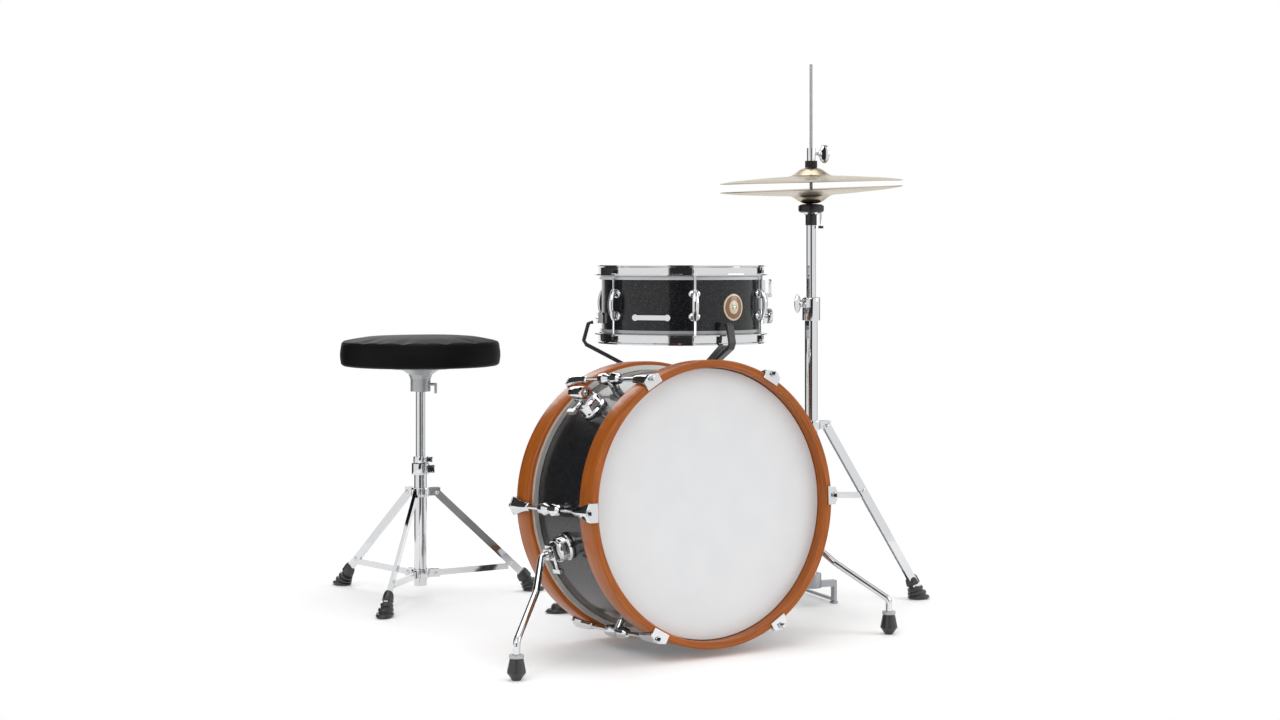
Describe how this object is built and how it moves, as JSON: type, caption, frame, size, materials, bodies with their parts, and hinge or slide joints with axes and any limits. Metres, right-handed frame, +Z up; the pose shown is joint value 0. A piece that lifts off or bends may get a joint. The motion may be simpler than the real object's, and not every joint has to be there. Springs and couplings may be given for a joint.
{
  "type": "acoustic drum kit",
  "caption": "Small acoustic drum kit: bass drum with spurs, snare drum on a basket stand, hi-hat cymbals on a pedal stand, and a round padded throne.",
  "frame": {"origin": "on the floor under the centre of the kit's box", "axes": "+Z up, +Y from the bass drum's front head back to the drummer, +X towards the hi-hat"},
  "size_m": [1.0758, 1.0703, 1.057],
  "materials": {
    "sparkle_wrap": "glossy charcoal sparkle wrap over a wooden shell",
    "maple_hoop": "satin orange-brown stained maple",
    "white_film": "smooth white film",
    "clear_film": "clear film over a dark interior",
    "chrome": "polished chrome plate",
    "steel": "bright steel",
    "black_rubber": "matt moulded rubber",
    "black_plastic": "satin moulded plastic",
    "clutch": "chrome sleeve with a black felt",
    "bronze": "lathed cymbal bronze",
    "badge": "plain enamelled oval badge",
    "cast_grey": "grey painted casting",
    "vinyl": "black vinyl over foam"
  },
  "bodies": {
    "kit_base": {"bass_shell": "sparkle_wrap", "front_hoop": "maple_hoop", "rear_hoop": "maple_hoop", "front_head": "white_film", "rear_head": "clear_film", "bass_lugs": "chrome", "bass_claws": "chrome", "bass_tension_rods": "chrome", "spur_brackets": "chrome", "accessory_bracket": "chrome", "snare_post": "chrome", "snare_collar": "chrome", "snare_stand_tripod": "chrome", "hihat_post": "chrome", "hihat_collar": "chrome", "hihat_tripod": "chrome", "throne_post": "chrome", "throne_collar": "chrome", "throne_tripod": "chrome", "hihat_base": "steel", "snare_stand_feet": "black_rubber", "hihat_feet": "black_rubber", "throne_feet": "black_rubber"},
    "spur_left": {"spur_leg_left": "chrome", "spur_foot_left": "black_rubber"},
    "spur_right": {"spur_leg_right": "chrome", "spur_foot_right": "black_rubber"},
    "snare_riser": {"snare_riser_tube": "chrome"},
    "snare_basket": {"snare_shell": "sparkle_wrap", "snare_top_hoop": "chrome", "snare_bottom_hoop": "chrome", "snare_top_head": "white_film", "snare_bottom_head": "clear_film", "snare_lugs": "chrome", "snare_tension_rods": "chrome", "strainer_body": "chrome", "butt_plate": "chrome", "snare_wires": "steel", "snare_badge": "badge", "name_plate": "chrome", "basket_arms": "chrome", "basket_grips": "black_rubber", "basket_hub": "chrome"},
    "strainer_lever": {"strainer_lever": "chrome"},
    "strainer_knob": {"strainer_knob": "chrome"},
    "snare_wing": {"snare_wing_screw": "chrome"},
    "hihat_riser": {"hihat_riser_tube": "chrome", "cymbal_seat": "black_plastic", "bottom_cymbal": "bronze"},
    "hihat_rod": {"pull_rod": "steel", "hihat_clutch": "clutch", "top_cymbal": "bronze"},
    "clutch_wing": {"clutch_wing_screw": "chrome"},
    "hihat_wing": {"hihat_wing_screw": "chrome"},
    "hihat_pedal": {"hihat_footboard": "chrome"},
    "throne_riser": {"throne_riser_tube": "chrome"},
    "throne_seat": {"seat_bracket": "cast_grey", "seat_cushion": "vinyl"},
    "throne_bolt": {"throne_lock_bolt": "chrome"}
  },
  "joints": [
    {"name": "spur_left_fold", "type": "hinge", "parent": "kit_base", "child": "spur_left", "pos_m": [-0.39721, -0.38761, 0.17919], "axis": [-0.9613, -0.0144, -0.2753], "range_deg": [0, 50]},
    {"name": "spur_right_fold", "type": "hinge", "parent": "kit_base", "child": "spur_right", "pos_m": [0.11341, -0.38761, 0.17919], "axis": [0.9613, -0.0144, -0.2753], "range_deg": [-50, 0]},
    {"name": "snare_height", "type": "slide", "parent": "kit_base", "child": "snare_riser", "axis": [0, 0, 1], "range_m": [0, 0.08]},
    {"name": "snare_tilt", "type": "hinge", "parent": "snare_riser", "child": "snare_basket", "pos_m": [0.0461, -0.1116, 0.3963], "axis": [1, 0, 0], "range_deg": [-15, 0]},
    {"name": "strainer_throw", "type": "hinge", "parent": "snare_basket", "child": "strainer_lever", "pos_m": [0.20359, -0.18172, 0.606], "axis": [0.4067, 0.9135, 0], "range_deg": [0, 80]},
    {"name": "strainer_tension", "type": "hinge", "parent": "snare_basket", "child": "strainer_knob", "pos_m": [0.19446, -0.17765, 0.566], "axis": [0.9135, -0.4067, 0], "continuous": true},
    {"name": "snare_wing_turn", "type": "hinge", "parent": "kit_base", "child": "snare_wing", "pos_m": [0.0611, -0.08562, 0.2795], "axis": [0.5, 0.866, 0], "continuous": true},
    {"name": "hihat_height", "type": "slide", "parent": "kit_base", "child": "hihat_riser", "axis": [0, 0, 1], "range_m": [0, 0.1]},
    {"name": "hihat_close", "type": "slide", "parent": "hihat_riser", "child": "hihat_rod", "axis": [0, 0, 1], "range_m": [-0.009, 0], "stiffness_N_per_m": 1500, "springref_m": 0.02},
    {"name": "clutch_wing_turn", "type": "hinge", "parent": "hihat_rod", "child": "clutch_wing", "pos_m": [0.3126, -0.18587, 0.882], "axis": [0.8499, -0.527, 0], "continuous": true},
    {"name": "hihat_wing_turn", "type": "hinge", "parent": "kit_base", "child": "hihat_wing", "pos_m": [0.27591, -0.19086, 0.5895], "axis": [-0.9397, -0.342, 0], "continuous": true},
    {"name": "hihat_pedal_hinge", "type": "hinge", "parent": "kit_base", "child": "hihat_pedal", "pos_m": [0.35619, 0.11484, 0.015], "axis": [0.9848, -0.1736, 0], "range_deg": [0, 2.2]},
    {"name": "throne_height", "type": "slide", "parent": "kit_base", "child": "throne_riser", "axis": [0, 0, 1], "range_m": [0, 0.1]},
    {"name": "throne_spin", "type": "hinge", "parent": "throne_riser", "child": "throne_seat", "pos_m": [-0.3069, 0.3024, 0.43], "axis": [0, 0, 1], "continuous": true},
    {"name": "throne_bolt_turn", "type": "hinge", "parent": "kit_base", "child": "throne_bolt", "pos_m": [-0.28778, 0.29054, 0.2575], "axis": [-0.527, -0.8499, 0], "continuous": true}
  ],
  "couplings": [
    {"joint": "hihat_pedal_hinge", "follows": "hihat_close", "rad_per_m": -3.89}
  ]
}
